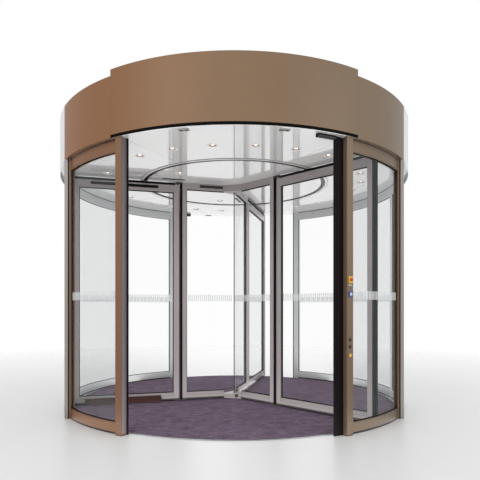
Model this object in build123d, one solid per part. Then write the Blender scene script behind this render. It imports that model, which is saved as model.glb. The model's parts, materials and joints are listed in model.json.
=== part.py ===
from build123d import *
import os
from math import asin, cos, degrees, radians, sin

# Three-wing revolving door under a tall canopy, for a doorway in a glass curtain wall.
# Millimetres, +Z up, with the origin on the rotor's axis at floor level.
# The lobby is at -Y and the street at +Y. Seen from above the rotor turns anticlockwise.

os.makedirs("parts", exist_ok=True)

# Clearances
running_gap = 5.0
pin_clearance = 0.08
seat_gap = 0.3

# Sides of the prisms that stand for rounds, which keeps the meshes light
large_round_sides = 72
plate_sides = 24
shaft_sides = 12
downlight_sides = 8

# Drum plan
wall_outer_radius = 2152.0
rail_depth = 52.0
canopy_overhang = 48.0
facade_offset = 1150.0

# Drum heights
soffit_height = 2845.0
kick_rail_height = 114.0
head_rail_height = 120.0

# Glass
wall_glass_thickness = 12.0
wall_glass_clearance = 3.0
post_channel_depth = 10.0
wing_glass_thickness = 10.0
wing_glass_clearance = 2.0
glazing_depth = 15.0
glazing_float = 6.0

# Door posts, mullions, facade posts and safety bumpers
post_angle = 30.4
post_width = 80.0
post_depth = 88.0
post_inset = 3.0
post_corner = 3.0
mullion_width = 46.0
facade_post_projection = 43.0
facade_post_depth = 80.0
tongue_inset = 3.0
tongue_depth = 6.0
bumper_reach = 72.0
bumper_thickness = 30.0
bumper_inset = 2.0

# Canopy skin
fascia_sheet = 5.0
raised_half_angle = 32.7
side_fascia_height = 599.0
raised_fascia_step = 62.0
street_skirt_drop = 49.0
roof_inset = 14.0
roof_thickness = 6.0
louvre_height = 33.0
louvre_setback = 18.0
louvre_sheet = 4.0

# Canopy frame and drive
beam_width = 50.0
beam_height = 60.0
upright_width = 40.0
spoke_width = 60.0
spoke_height = 50.0
spoke_overlap = 12.0
inner_beam_width = 90.0
inner_beam_clearance = 16.0
bridge_width = 180.0
bridge_height = 90.0
drive_radius = 160.0
drive_height = 180.0

# Soffit
soffit_sheet = 4.0
soffit_seam = 3.0
soffit_panel_count = 12
panel_lap = 12.0
disc_gap = 8.0
trim_width = 76.0
trim_drop = 6.0
downlight_count = 24
downlight_inset = 493.0
downlight_radius = 50.0
downlight_drop = 2.0
downlight_height = 40.0

# Doorway sensors
doorway_sensor_inset = 24.0
doorway_sensor_angle = 12.5
doorway_sensor_length = 100.0
doorway_sensor_width = 56.0
doorway_sensor_drop = 6.0
sensor_bar_gap = 23.0
sensor_bar_length = 205.0
sensor_bar_depth = 40.0
sensor_bar_height = 34.0

# Entrance mat and floor pivot
mat_gap = 45.0
mat_thickness = 8.0
pivot_plate_radius = 70.0
pivot_pin_height = 48.0

# Rotor
disc_radius = 1153.0
disc_thickness = 12.0
wing_angles = {"a": 195.5, "b": 315.5, "c": 75.5}
wing_thickness = 50.0
hub_facet = 226.0
inner_panel_radius = 704.0
inner_stile = 55.0
inner_top_rail = 85.0
wing_rail_bottom = 25.0
inner_bottom_rail = 50.0
wing_corner = 2.0
pane_start = 6.0
shaft_radius = 40.0
pivot_shaft_radius = 20.0
shaft_flange_radius = 115.0
shaft_flange_thickness = 12.0
shaft_entry = 110.0

# Rotor lights and sensors
disc_light_inset = 240.0
disc_light_lead = 28.4
disc_sensor_length = 285.0
disc_sensor_width = 34.0
disc_sensor_drop = 5.0
disc_sensor_lead = 155.0
disc_sensor_inset = 317.0
rail_sensor_height = 36.0
rail_sensor_depth = 3.0
inner_sensor_lead = 16.0
inner_sensor_tail = 228.0
inner_sensor_drop = 37.0
leaf_sensor_lead = 253.0
leaf_sensor_tail = 216.0
leaf_sensor_drop = 36.0

# Wing leaves
joint_gap = 35.0
leaf_edge_gap = 35.0
leaf_stile = 80.0
leaf_top_rail = 94.0
leaf_bottom_rail = 53.0
leaf_drop = 43.0
seal_thickness = 12.0
joint_seal_thickness = 30.0
edge_seal_reach = 25.0
pivot_arm_top = 24.0
pivot_arm_bottom = 8.0
pivot_arm_corner = 14.0
pivot_pin_radius = 9.0
pivot_pin_entry = 28.0
pivot_washer_radius = 16.0
leaf_bumper_lead = 214.0
leaf_bumper_tail = 145.0
leaf_bumper_lift = 3.0
leaf_bumper_height = 46.0
leaf_bumper_depth = 34.0
leaf_bumper_round = 10.0

# Controls on the right lobby post
stop_height = 1488.0
stop_plate_width = 46.0
stop_plate_height = 62.0
stop_button_radius = 17.0
stop_stem_radius = 10.0
access_height = 1349.0
access_width = 42.0
access_plate_height = 52.0
access_button_radius = 15.0
plate_depth = 10.0
button_reach = 14.0
access_button_reach = 5.0
key_switch_heights = (915.0, 849.0, 766.0)
key_switch_radius = 9.0
key_switch_reach = 9.0
key_slot_width = 3.0
key_slot_height = 10.0
key_slot_depth = 3.0

# Sizes that follow from the ones above
wall_inner_radius = wall_outer_radius - rail_depth
canopy_radius = wall_outer_radius + canopy_overhang
skin_radius = canopy_radius - fascia_sheet
louvre_radius = canopy_radius - louvre_setback
wall_glass_radius = wall_outer_radius - rail_depth / 2 - wall_glass_thickness / 2
glass_outer_radius = wall_glass_radius + wall_glass_thickness
rebate_radius = wall_glass_radius - wall_glass_clearance
channel_outer = glass_outer_radius + wall_glass_clearance
post_inner_radius = wall_inner_radius - post_inset
post_outer_radius = post_inner_radius + post_depth
kick_seat = kick_rail_height - glazing_depth
head_bottom = soffit_height - head_rail_height
head_seat = head_bottom + glazing_depth
soffit_top = soffit_height + soffit_sheet
side_fascia_top = soffit_height + side_fascia_height
raised_fascia_top = side_fascia_top + raised_fascia_step
roof_height = side_fascia_top - roof_inset
trim_inner_radius = disc_radius + disc_gap
trim_outer_radius = trim_inner_radius + trim_width
downlight_circle = wall_outer_radius - downlight_inset
sensor_circle = wall_outer_radius - doorway_sensor_inset
mat_radius = wall_inner_radius - mat_gap
leaf_radius = wall_inner_radius - leaf_edge_gap
raised_bottom = soffit_height + louvre_height
rotor_bottom = mat_thickness + running_gap
disc_top = soffit_height + disc_thickness
half_wing = wing_thickness / 2
brush_top = soffit_height - trim_drop - running_gap
leaf_top = soffit_height - leaf_drop
pivot_radius = inner_panel_radius + joint_gap + half_wing
facade_angle = -degrees(asin(facade_offset / wall_outer_radius))
facade_post_reach = wall_outer_radius * cos(radians(facade_angle)) + facade_post_projection
lobby_post_angle = post_angle - 90
street_post_angle = 90 - post_angle
raised_edge = raised_half_angle - 90
closing_reach = post_width / 2 + bumper_reach + sensor_bar_gap + sensor_bar_length / 2
sensor_bar_angle = post_angle - degrees(closing_reach / sensor_circle)


# Ways of making and placing pieces
def bar(x0, x1, y0, y1, z0, z1):
    """A straight bar between two corners."""
    return Pos((x0 + x1) / 2, (y0 + y1) / 2, (z0 + z1) / 2) * Box(x1 - x0, y1 - y0, z1 - z0)


def post(x, y, radius, z0, z1):
    """An upright cylinder between two heights."""
    return Pos(x, y, (z0 + z1) / 2) * Cylinder(radius, z1 - z0)


def prism(radius, sides, z0, z1):
    """An upright prism of regular plan, with a corner on the +X axis."""
    return Pos(0, 0, z0) * extrude(RegularPolygon(radius, sides), z1 - z0)


def socket(radius, sides, z0, z1):
    """A prism with its flats at the radius and a flat on +X, so that a prism's corners bear on its flats."""
    half_side = 180 / sides
    return Rot(0, 0, half_side) * prism(radius / cos(radians(half_side)), sides, z0, z1)


def prism_ring(inner, outer, bottom, top):
    """A large plain ring with many sides."""
    return prism(outer, large_round_sides, bottom, top) - prism(inner, large_round_sides, bottom - 1, top + 1)


def sector(half_angle, middle, bottom, top):
    """A wedge as far as the canopy, to keep part of a large ring."""
    reach = canopy_radius / cos(radians(half_angle))
    far = [(reach * cos(radians(angle)), reach * sin(radians(angle))) for angle in (-half_angle, half_angle)]
    wedge = extrude(make_face(Polyline((0, 0), *far, close=True)), top - bottom)
    return Rot(0, 0, middle) * Pos(0, 0, bottom) * wedge


def turned(outline, start=0.0, end=360.0):
    """A ring or curved bar: a (radius, height) outline turned about Z between two plan angles."""
    face = make_face(Polyline(*[(r, 0, z) for r, z in outline], close=True))
    return Rot(0, 0, start) * revolve(face, Axis.Z, end - start)


def ring(inner, outer, bottom, top, start=0.0, end=360.0):
    """A plain ring, or a sector of one."""
    return turned([(inner, bottom), (outer, bottom), (outer, top), (inner, top)], start, end)


def at_angle(shape, angle):
    """Turn a piece drawn along +X to a plan angle."""
    return Rot(0, 0, angle) * shape


def left_of(shape):
    """The same piece on the left side of the drum."""
    return mirror(shape, Plane.YZ)


def opposite(shape):
    """The same piece half a turn round, at the street doorway."""
    return Rot(0, 0, 180) * shape


def both_sides(*shapes):
    """Pieces of the right side with their like on the left."""
    return [*shapes, *[left_of(shape) for shape in shapes]]


def save(name, *shapes):
    """Write one sub-part, as one solid or as several that stay apart."""
    solids = [solid for shape in shapes for solid in shape.solids()]
    export_step(solids[0] if len(solids) == 1 else Compound(solids), f"parts/{name}.step")


# Uprights are drawn on the +X axis, radial along X
def glass_channel(side_face, direction):
    """The channel for a curved pane in an upright's side face, which looks along direction in Y."""
    low, high = sorted((side_face - direction * post_channel_depth, side_face + direction))
    return bar(rebate_radius, channel_outer, low, high, kick_seat, head_seat)


def door_post():
    """Post beside a doorway, with its reveal at -Y and the pane's channel at +Y."""
    half = post_width / 2
    body = bar(post_inner_radius, post_outer_radius, -half, half, 0, soffit_height)
    body = chamfer(body.edges().filter_by(Axis.Z), post_corner)
    return body - glass_channel(half, 1)


def safety_bumper():
    """Round-nosed rubber bumper on the reveal of the closing post."""
    inner = wall_inner_radius + bumper_inset
    face = -post_width / 2
    body = bar(inner, inner + bumper_thickness, face - bumper_reach, face, 0, soffit_height)
    nose = [e for e in body.edges().filter_by(Axis.Z) if e.center().Y < face - bumper_reach / 2]
    return fillet(nose, bumper_thickness * 0.45)


def wall_mullion():
    """Slim upright between two curved panes."""
    half = mullion_width / 2
    body = bar(wall_inner_radius, wall_outer_radius, -half, half, 0, soffit_height)
    return body - glass_channel(half, 1) - glass_channel(-half, -1)


def facade_post():
    """The mullion at the facade line, with the flat-faced post that takes the curtain wall."""
    half = facade_post_depth / 2
    arm = bar(wall_inner_radius * cos(radians(facade_angle)), facade_post_reach,
              -facade_offset - half, -facade_offset + half, 0, soffit_height)
    arm -= post(0, 0, wall_outer_radius + seat_gap, -1, soffit_height + 1)
    tongue_half = mullion_width / 2 - tongue_inset
    tongue = bar(wall_outer_radius - tongue_depth, wall_outer_radius + tongue_depth,
                 -tongue_half, tongue_half, 0, soffit_height)
    return at_angle(wall_mullion() + tongue, facade_angle) + arm


mullion_angles = (0.0, -facade_angle)
lobby_post = at_angle(door_post(), lobby_post_angle)
street_post = at_angle(mirror(door_post(), Plane.XZ), street_post_angle)
save("lobby_posts", *both_sides(lobby_post))
save("street_posts", *both_sides(street_post))
save("facade_posts", *both_sides(facade_post()))
save("wall_mullions", *both_sides(*[at_angle(wall_mullion(), angle) for angle in mullion_angles]))
lobby_bumper = at_angle(safety_bumper(), lobby_post_angle)
save("safety_bumpers", lobby_bumper, opposite(lobby_bumper))

# Curved rails and panes, one for each bay between two uprights
wall_stops = [(lobby_post_angle, post_width), (facade_angle, mullion_width), (mullion_angles[0], mullion_width),
              (mullion_angles[1], mullion_width), (street_post_angle, post_width)]


def kick_rail(start, end):
    """Bottom rail, rebated on its outer side for the pane to stand in."""
    outline = [(wall_inner_radius, 0), (wall_outer_radius, 0), (wall_outer_radius, kick_seat),
               (rebate_radius, kick_seat), (rebate_radius, kick_rail_height), (wall_inner_radius, kick_rail_height)]
    return turned(outline, start, end)


def head_rail(start, end):
    """Top rail up to the soffit, rebated like the bottom one."""
    outline = [(wall_inner_radius, soffit_height), (wall_outer_radius, soffit_height),
               (wall_outer_radius, head_seat), (rebate_radius, head_seat), (rebate_radius, head_bottom),
               (wall_inner_radius, head_bottom)]
    return turned(outline, start, end)


def wall_pane(start, end):
    """Curved pane standing on the bottom rebate, short of the top one."""
    return ring(wall_glass_radius, glass_outer_radius, kick_seat, head_seat - glazing_float, start, end)


def wall_bays(make, entry):
    """One curved piece for each bay, ending on the uprights or entering them."""
    pieces = []
    for (start, first_width), (end, second_width) in zip(wall_stops, wall_stops[1:]):
        piece = make(start, end)
        for angle, width in ((start, first_width), (end, second_width)):
            half = width / 2 - entry
            stop = bar(post_inner_radius, post_outer_radius, -half, half, -1, soffit_height + 1)
            piece -= at_angle(stop, angle)
        pieces.append(piece)
    return pieces


save("kick_rails", *both_sides(*wall_bays(kick_rail, 0.0)))
save("head_rails", *both_sides(*wall_bays(head_rail, 0.0)))
save("wall_glass", *both_sides(*wall_bays(wall_pane, post_channel_depth)))

# Entrance mat and the floor pivot
mat = prism(mat_radius, large_round_sides, 0, mat_thickness)
save("entrance_mat", mat - prism(pivot_plate_radius, plate_sides, -1, mat_thickness + 1))
pivot_plate = prism(pivot_plate_radius, plate_sides, 0, mat_thickness)
save("floor_pivot", pivot_plate + prism(pivot_shaft_radius, shaft_sides, 0, pivot_pin_height))


# Soffit and its downlights
def light_hole(circle, angle, bottom, top):
    """The cut-out that a downlight sits in."""
    hole = socket(downlight_radius + seat_gap, downlight_sides, bottom - 1, top + 1)
    return at_angle(Pos(circle, 0, 0) * hole, angle)


def downlight(circle, angle):
    """A can set in its cut-out, with the lens just under the ceiling."""
    bottom = soffit_height - downlight_drop
    body = socket(downlight_radius, downlight_sides, bottom, soffit_height + downlight_height)
    return at_angle(Pos(circle, 0, 0) * body, angle)


light_step = 360 / downlight_count
light_angles = [light_step * (n + 0.5) for n in range(downlight_count)]
panel_step = 360 / soffit_panel_count
seam_angles = [panel_step * n for n in range(soffit_panel_count)]
panel_inner = trim_outer_radius - panel_lap
soffit = prism(skin_radius, large_round_sides, soffit_height, soffit_top)
soffit -= prism(panel_inner, soffit_panel_count, soffit_height - 1, soffit_top + 1)
half_seam = soffit_seam / 2
seam = bar(trim_inner_radius, canopy_radius, -half_seam, half_seam, soffit_height - 1, soffit_top + 1)
soffit -= [at_angle(seam, angle) for angle in seam_angles]
soffit -= [light_hole(downlight_circle, angle, soffit_height, soffit_top) for angle in light_angles]
save("soffit_panels", soffit)
trim_bottom = soffit_height - trim_drop
save("soffit_trim_ring", prism_ring(trim_inner_radius, trim_outer_radius, trim_bottom, soffit_height))
save("soffit_downlights", *[downlight(downlight_circle, angle) for angle in light_angles])


# Sensors over the doorways
def doorway_sensor(angle):
    """Flat sensor window under the soffit, over a doorway."""
    half = doorway_sensor_length / 2
    half_width = doorway_sensor_width / 2
    plate = bar(sensor_circle - half_width, sensor_circle + half_width, -half, half,
                soffit_height - doorway_sensor_drop, soffit_height)
    underside = plate.faces().sort_by(Axis.Z)[0]
    return at_angle(chamfer(underside.edges(), doorway_sensor_drop / 2), angle)


def sensor_bar():
    """Presence sensor in a chamfered housing over the closing edge."""
    half = sensor_bar_length / 2
    half_depth = sensor_bar_depth / 2
    body = bar(sensor_circle - half_depth, sensor_circle + half_depth, -half, half,
               soffit_height - sensor_bar_height, soffit_height)
    underside = body.faces().sort_by(Axis.Z)[0]
    return at_angle(chamfer(underside.edges(), sensor_bar_height / 4), sensor_bar_angle - 90)


lobby_sensors = [doorway_sensor(side * doorway_sensor_angle - 90) for side in (-1, 1)]
save("doorway_sensors", *lobby_sensors, *[opposite(sensor) for sensor in lobby_sensors])
save("sensor_bars", sensor_bar(), opposite(sensor_bar()))

# Canopy frame: straight beams between uprights, and spokes over the seams that carry the soffit
frame_reach = louvre_radius - louvre_sheet - seat_gap
inner_beam_reach = (trim_inner_radius + inner_beam_clearance) / cos(radians(panel_step / 2))
spoke_top = soffit_top + spoke_height


def beam_ring(reach, width, bottom, top):
    """Straight beams between the spokes' lines, with their corners at reach."""
    return (prism(reach, soffit_panel_count, bottom, top)
            - prism(reach - width, soffit_panel_count, bottom - 1, top + 1))


def canopy_frame():
    """Outer beams low and high, joined by uprights, and inner beams on spokes."""
    frame = beam_ring(frame_reach, beam_width, soffit_top, soffit_top + beam_height)
    frame += beam_ring(frame_reach, beam_width, roof_height - beam_height, roof_height)
    frame += beam_ring(inner_beam_reach + inner_beam_width, inner_beam_width, soffit_top, spoke_top)
    upright = bar(frame_reach - beam_width + spoke_overlap, frame_reach - spoke_overlap,
                  -upright_width / 2, upright_width / 2, soffit_top + spoke_overlap, roof_height - spoke_overlap)
    spoke = bar(inner_beam_reach + inner_beam_width - spoke_overlap, frame_reach - beam_width + spoke_overlap,
                -spoke_width / 2, spoke_width / 2, soffit_top, spoke_top)
    return frame + [at_angle(arm, angle) for angle in seam_angles for arm in (upright, spoke)]


def drive_bridge():
    """Beam across the inner beams with the drive housing that the shaft hangs in."""
    reach = inner_beam_reach + inner_beam_width - spoke_overlap
    body = bar(-reach, reach, -bridge_width / 2, bridge_width / 2, spoke_top, spoke_top + bridge_height)
    body += prism(drive_radius, shaft_sides, spoke_top, spoke_top + drive_height)
    bore_top = spoke_top + shaft_entry + running_gap
    return body - socket(shaft_radius + pin_clearance, shaft_sides, spoke_top - 1, bore_top)


save("canopy_frame", canopy_frame())
save("drive_bridge", drive_bridge())
save("canopy_roof", prism(skin_radius, large_round_sides, roof_height, roof_height + roof_thickness))

# Canopy skin: curved sheets, the raised ones over a set-back grille
skirt_edge = -degrees(asin((facade_offset - facade_post_depth / 2) / canopy_radius))
raised_start = -180 - raised_edge
lobby_panel = ring(skin_radius, canopy_radius, raised_bottom, raised_fascia_top, raised_start, raised_edge)
lobby_side = ring(skin_radius, canopy_radius, soffit_height, side_fascia_top, raised_edge, skirt_edge)
street_side = ring(skin_radius, canopy_radius, soffit_height - street_skirt_drop, side_fascia_top,
                   skirt_edge, -raised_edge)
grille = prism_ring(louvre_radius - louvre_sheet, louvre_radius, soffit_top, raised_bottom)
grille &= sector(raised_half_angle, -90, soffit_top, raised_bottom)
save("raised_fascias", lobby_panel, opposite(lobby_panel))
save("fascia_lobby_sides", *both_sides(lobby_side))
save("fascia_street_sides", *both_sides(street_side))
save("vent_louvres", grille, opposite(grille))

# Rotor: ceiling disc, shaft and hubs
disc_light_circle = disc_radius - disc_light_inset
disc_light_angles = [angle + disc_light_lead for angle in wing_angles.values()]
disc = prism(disc_radius, large_round_sides, soffit_height, disc_top)
disc -= [light_hole(disc_light_circle, angle, soffit_height, disc_top) for angle in disc_light_angles]
save("ceiling_disc", disc)
save("disc_downlights", *[downlight(disc_light_circle, angle) for angle in disc_light_angles])
shaft = prism(shaft_flange_radius, shaft_sides, disc_top, disc_top + shaft_flange_thickness)
save("rotor_shaft", shaft + prism(shaft_radius, shaft_sides, disc_top, spoke_top + shaft_entry))

hub_reach = (hub_facet / 2 + half_wing * sin(radians(30))) / cos(radians(30))
inner_top = soffit_height - inner_top_rail
inner_low = wing_rail_bottom + inner_bottom_rail
half_channel = wing_glass_thickness / 2 + wing_glass_clearance
half_pane = wing_glass_thickness / 2
pane_low = inner_low - glazing_depth
pane_high = inner_top + glazing_depth - glazing_float


def hub(bottom, top, slot_bottom, slot_top):
    """Six-sided block, wing-wide where the rails meet it, slotted for the panes."""
    corners = []
    for angle in wing_angles.values():
        for side in (-half_wing, half_wing):
            corner = Vector(hub_reach, side, bottom).rotate(Axis.Z, angle)
            corners.append(corner)
    block = extrude(make_face(Polyline(*corners, close=True)), amount=top - bottom, dir=(0, 0, 1))
    for angle in wing_angles.values():
        slot = bar(0, hub_reach + 1, -half_channel, half_channel, slot_bottom, slot_top)
        block -= at_angle(slot, angle)
    return block


lower_hub = hub(rotor_bottom, inner_low, pane_low, inner_low + 1)
bore_top = pivot_pin_height + running_gap
lower_bore = socket(pivot_shaft_radius + pin_clearance, shaft_sides, rotor_bottom - 1, bore_top)
save("hub_bottom", lower_hub - lower_bore)
save("hub_top", hub(inner_top, soffit_height, inner_top - 1, inner_top + glazing_depth))


# Fixed inner wing panels, drawn along +X with the leading face at +Y
def pivot_arm(bottom, top):
    """Flat arm from the stile to just past the leaf's pivot, with cut corners."""
    end = pivot_radius + half_wing - seat_gap
    arm = bar(inner_panel_radius - inner_stile, end, -half_wing, half_wing, bottom, top)
    corners = [e for e in arm.edges().filter_by(Axis.Z) if e.center().X > pivot_radius]
    return chamfer(corners, pivot_arm_corner)


def inner_frame():
    """Rails from the hubs to a stile, with arms and pins for the leaf's pivots."""
    stile_start = inner_panel_radius - inner_stile
    body = bar(hub_reach, inner_panel_radius, -half_wing, half_wing, wing_rail_bottom, soffit_height)
    body -= bar(hub_reach - 1, stile_start, -half_wing - 1, half_wing + 1, inner_low, inner_top)
    body -= bar(hub_reach - 1, stile_start + glazing_depth, -half_channel, half_channel,
                pane_low, inner_top + glazing_depth)
    upper_arm = pivot_arm(soffit_height - pivot_arm_top, soffit_height)
    lower_arm = pivot_arm(rotor_bottom, rotor_bottom + pivot_arm_bottom)
    foot = bar(stile_start, inner_panel_radius, -half_wing, half_wing, rotor_bottom, wing_rail_bottom)
    arm_top = rotor_bottom + pivot_arm_bottom
    washer = prism(pivot_washer_radius, shaft_sides, arm_top, wing_rail_bottom - seat_gap)
    upper_pin = prism(pivot_pin_radius, shaft_sides, leaf_top - pivot_pin_entry, soffit_height - pivot_arm_top)
    lower_pin = prism(pivot_pin_radius, shaft_sides, arm_top, wing_rail_bottom + pivot_pin_entry)
    at_pivot = Pos(pivot_radius, 0, 0)
    body += [upper_arm, lower_arm, foot, at_pivot * washer, at_pivot * upper_pin, at_pivot * lower_pin]
    return body


def inner_pane():
    """Flat pane from near the axis to the inner stile, standing in the bottom rail."""
    end = inner_panel_radius - inner_stile + glazing_depth - wing_glass_clearance
    return bar(pane_start, end, -half_pane, half_pane, pane_low, pane_high)


def joint_seal():
    """Rubber strip that closes the gap to the leaf, short of its round nose."""
    half = joint_seal_thickness / 2
    end = inner_panel_radius + joint_gap - running_gap
    bottom = rotor_bottom + pivot_arm_bottom
    return bar(inner_panel_radius, end, -half, half, bottom, soffit_height - pivot_arm_top)


def inner_brush():
    """Floor brush under the inner bottom rail."""
    half = seal_thickness / 2
    return bar(hub_reach, inner_panel_radius - inner_stile, -half, half, rotor_bottom, wing_rail_bottom)


def disc_sensor():
    """Presence sensor with cut corners under the disc, ahead of a wing and parallel to it."""
    half = disc_sensor_length / 2
    half_width = disc_sensor_width / 2
    middle = disc_radius - disc_sensor_inset
    body = bar(middle - half, middle + half, disc_sensor_lead - half_width,
               disc_sensor_lead + half_width, soffit_height - disc_sensor_drop, soffit_height)
    return chamfer(body.edges().filter_by(Axis.Z), half_width / 2)


def rail_sensor(start, end, middle):
    """Dark sensor strip on the leading face of a top rail."""
    half = rail_sensor_height / 2
    return bar(start, end, half_wing, half_wing + rail_sensor_depth, middle - half, middle + half)


# Wing leaves, drawn along +X with the leading face at +Y
leaf_inside_start = pivot_radius - half_wing + leaf_stile
leaf_inside_end = leaf_radius - leaf_stile
leaf_inside_low = wing_rail_bottom + leaf_bottom_rail
leaf_inside_high = leaf_top - leaf_top_rail


def leaf_frame():
    """Two stiles and two rails round a pane; the inner stile has a round nose about the pivot."""
    body = bar(pivot_radius, leaf_radius, -half_wing, half_wing, wing_rail_bottom, leaf_top)
    outer_edges = [e for e in body.edges().filter_by(Axis.Z) if e.center().X > leaf_inside_end]
    body = chamfer(outer_edges, wing_corner)
    body += post(pivot_radius, 0, half_wing, wing_rail_bottom, leaf_top)
    body -= bar(leaf_inside_start, leaf_inside_end, -half_wing - 1, half_wing + 1,
                leaf_inside_low, leaf_inside_high)
    body -= bar(leaf_inside_start - glazing_depth, leaf_inside_end + glazing_depth, -half_channel, half_channel,
                leaf_inside_low - glazing_depth, leaf_inside_high + glazing_depth)
    hole = pivot_pin_radius + pin_clearance
    entry = pivot_pin_entry + running_gap
    at_pivot = Pos(pivot_radius, 0, 0)
    body -= at_pivot * socket(hole, shaft_sides, leaf_top - entry, leaf_top + 1)
    body -= at_pivot * socket(hole, shaft_sides, wing_rail_bottom - 1, wing_rail_bottom + entry)
    return body


def leaf_pane():
    """Flat pane standing in the leaf's bottom channel."""
    inset = glazing_depth - wing_glass_clearance
    return bar(leaf_inside_start - inset, leaf_inside_end + inset, -half_pane, half_pane,
               leaf_inside_low - glazing_depth, leaf_inside_high + glazing_depth - glazing_float)


def leaf_seals():
    """Top brush, outer edge seal and floor brush in one run round the leaf."""
    half = seal_thickness / 2
    start = pivot_radius + half_wing + running_gap
    tip = leaf_radius + edge_seal_reach
    body = bar(leaf_radius, tip, -half, half, rotor_bottom, brush_top)
    body += bar(start, tip, -half, half, leaf_top, brush_top)
    body += bar(start, tip, -half, half, rotor_bottom, wing_rail_bottom)
    return body


def leaf_bumper():
    """Soft bumper on the bottom rail's leading face."""
    bottom = rotor_bottom + leaf_bumper_lift
    body = bar(pivot_radius + leaf_bumper_lead, leaf_radius - leaf_bumper_tail, half_wing,
               half_wing + leaf_bumper_depth, bottom, bottom + leaf_bumper_height)
    front = [e for e in body.edges().filter_by(Axis.X) if e.center().Y > half_wing + leaf_bumper_depth / 2]
    return fillet(front, leaf_bumper_round)


inner_strip = rail_sensor(hub_reach + inner_sensor_lead, inner_panel_radius - inner_sensor_tail,
                          soffit_height - inner_sensor_drop)
leaf_strip = rail_sensor(pivot_radius + leaf_sensor_lead, leaf_radius - leaf_sensor_tail,
                         leaf_top - leaf_sensor_drop)
wings = list(wing_angles.values())
save("inner_glass", *[at_angle(inner_pane(), angle) for angle in wings])
save("inner_seals", *[at_angle(shape, angle) for angle in wings for shape in (joint_seal(), inner_brush())])
save("presence_sensors", *[at_angle(shape, angle) for angle in wings for shape in (disc_sensor(), inner_strip)])
for letter, angle in wing_angles.items():
    save(f"inner_frame_{letter}", at_angle(inner_frame(), angle))
    save(f"leaf_frame_{letter}", at_angle(leaf_frame(), angle))
    save(f"leaf_glass_{letter}", at_angle(leaf_pane(), angle))
    save(f"leaf_seals_{letter}", at_angle(leaf_seals(), angle))
    save(f"leaf_safety_{letter}", at_angle(leaf_bumper(), angle), at_angle(leaf_strip, angle))


# Controls on the outer face of the right lobby post
def on_post(shape):
    """Place a piece drawn on the outer face of a post at +X."""
    return at_angle(shape, lobby_post_angle)


def plate_on_post(width, height, middle):
    """Control plate on the post's outer face."""
    return bar(post_outer_radius, post_outer_radius + plate_depth, -width / 2, width / 2,
               middle - height / 2, middle + height / 2)


def knob(radius, start, end, middle):
    """Many-sided knob standing out along X from one depth to another."""
    return Pos(start, 0, middle) * Rot(0, 90, 0) * prism(radius, shaft_sides, 0, end - start)


control_face = post_outer_radius + plate_depth


def emergency_stop():
    """Mushroom button on a square-edged plate."""
    head = knob(stop_button_radius, control_face + button_reach / 2, control_face + button_reach, stop_height)
    front = head.faces().sort_by(Axis.X)[-1]
    head = chamfer(front.edges(), button_reach / 6)
    stem = knob(stop_stem_radius, control_face, control_face + button_reach / 2, stop_height)
    return plate_on_post(stop_plate_width, stop_plate_height, stop_height) + stem + head


def access_button():
    """Round push button on a plate."""
    button = knob(access_button_radius, control_face, control_face + access_button_reach, access_height)
    return plate_on_post(access_width, access_plate_height, access_height) + button


def key_switch(height):
    """Round key switch barrel with a key slot."""
    face = post_outer_radius + key_switch_reach
    barrel = knob(key_switch_radius, post_outer_radius, face, height)
    half = key_slot_width / 2
    half_height = key_slot_height / 2
    return barrel - bar(face - key_slot_depth, face + 1, -half, half, height - half_height, height + half_height)


save("emergency_stop", on_post(emergency_stop()))
save("access_button", on_post(access_button()))
save("key_switches", *[on_post(key_switch(height)) for height in key_switch_heights])
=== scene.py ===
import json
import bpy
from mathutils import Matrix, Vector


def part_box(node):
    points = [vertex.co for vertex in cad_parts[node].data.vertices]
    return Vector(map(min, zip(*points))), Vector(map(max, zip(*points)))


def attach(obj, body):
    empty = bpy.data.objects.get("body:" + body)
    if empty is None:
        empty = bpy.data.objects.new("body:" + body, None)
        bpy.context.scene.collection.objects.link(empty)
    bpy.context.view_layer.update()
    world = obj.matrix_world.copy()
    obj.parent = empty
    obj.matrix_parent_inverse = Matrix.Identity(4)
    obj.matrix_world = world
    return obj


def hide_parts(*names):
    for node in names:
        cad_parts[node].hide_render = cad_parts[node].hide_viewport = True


bl_info = {
    "name": "Revolving door",
    "version": (1, 0, 0),
    "blender": (4, 5, 0),
    "location": "3D View > Sidebar > Door",
    "description": "Finishes and fittings for a three-wing revolving door",
    "category": "Object",
}

from math import atan2, degrees, pi, radians, sqrt, tan

import bmesh
import bpy
from mathutils import Matrix, Vector

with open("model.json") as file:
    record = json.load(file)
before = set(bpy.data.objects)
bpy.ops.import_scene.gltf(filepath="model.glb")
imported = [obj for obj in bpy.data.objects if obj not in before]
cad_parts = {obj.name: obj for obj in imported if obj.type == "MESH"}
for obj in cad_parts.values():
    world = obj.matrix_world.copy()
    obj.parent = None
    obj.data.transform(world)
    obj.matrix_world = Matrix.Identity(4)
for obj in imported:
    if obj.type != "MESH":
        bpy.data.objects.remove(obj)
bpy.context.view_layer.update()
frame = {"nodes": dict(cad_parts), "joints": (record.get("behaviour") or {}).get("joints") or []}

# Places read from the frame, in metres
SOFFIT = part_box("soffit_panels")[0].z
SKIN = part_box("canopy_roof")[1].x
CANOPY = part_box("raised_fascias")[1].y
SLOT_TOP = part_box("vent_louvres")[1].z
SLOT_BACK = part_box("vent_louvres")[1].y
WALL_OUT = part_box("wall_mullions")[1].x
GLASS_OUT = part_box("wall_glass")[1].x
KICK_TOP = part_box("kick_rails")[1].z
KICK_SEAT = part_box("wall_glass")[0].z
HEAD_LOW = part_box("head_rails")[0].z
MAT_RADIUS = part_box("entrance_mat")[1].x
MAT_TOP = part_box("entrance_mat")[1].z
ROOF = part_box("canopy_roof")[1].z
LEAF_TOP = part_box("leaf_frame_a")[1].z
LEAF_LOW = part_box("leaf_frame_a")[0].z
FACADE_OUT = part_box("facade_posts")[1].x
PIVOTS = {j["name"][-1]: Vector(j["pos_m"]) for j in frame["joints"] if j["name"].startswith("leaf_fold")}
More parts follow.
